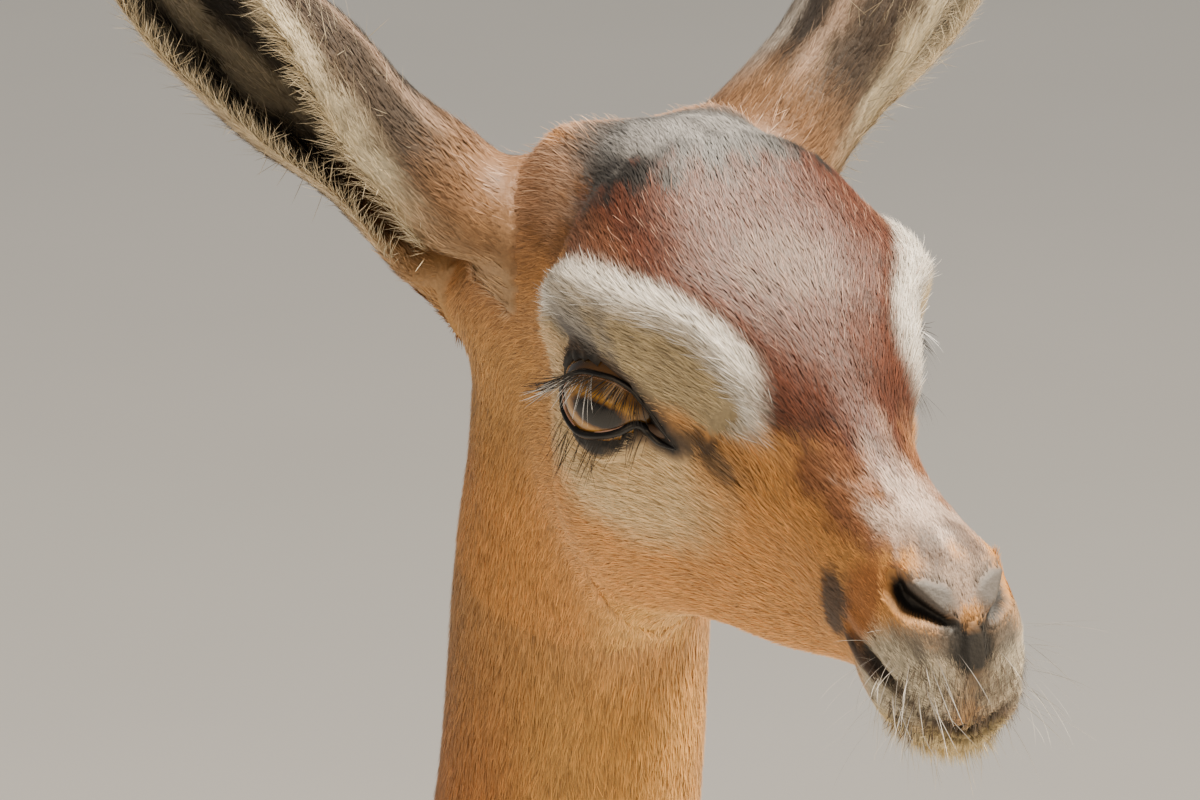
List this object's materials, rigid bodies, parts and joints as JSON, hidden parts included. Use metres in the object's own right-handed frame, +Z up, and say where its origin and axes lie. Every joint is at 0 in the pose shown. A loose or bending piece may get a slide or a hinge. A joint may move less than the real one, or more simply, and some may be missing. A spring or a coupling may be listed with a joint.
{
  "type": "gerenuk",
  "caption": "Life-size still model of a hornless female gerenuk standing square, with a long slender neck, large cupped ears and long thin legs.",
  "frame": {"origin": "on the ground under the middle of the animal's bounding box", "axes": "+Z up, the animal faces -Y, its left side is +X"},
  "size_m": [0.3034, 1.0182, 1.4872],
  "materials": {
    "coat": "short tan coat, lying flat",
    "saddle": "short red-brown coat of the back",
    "ear_coat": "short grey-tan coat with dark and cream streaks inside",
    "eye": "wet dark brown",
    "hoof": "smooth dark horn",
    "tail_tuft": "black tuft of coarse hair"
  },
  "bodies": {
    "root": {"head": "coat", "neck": "coat", "torso": "saddle", "tail": "tail_tuft", "ear_left": "ear_coat", "eye_left": "eye", "foreleg_left_upper": "coat", "foreleg_left_lower": "coat", "hoof_fore_left_outer": "hoof", "hoof_fore_left_inner": "hoof", "hindleg_left_upper": "coat", "hindleg_left_lower": "coat", "hoof_hind_left_outer": "hoof", "hoof_hind_left_inner": "hoof", "ear_right": "ear_coat", "eye_right": "eye", "foreleg_right_upper": "coat", "foreleg_right_lower": "coat", "hoof_fore_right_outer": "hoof", "hoof_fore_right_inner": "hoof", "hindleg_right_upper": "coat", "hindleg_right_lower": "coat", "hoof_hind_right_outer": "hoof", "hoof_hind_right_inner": "hoof"}
  },
  "joints": []
}
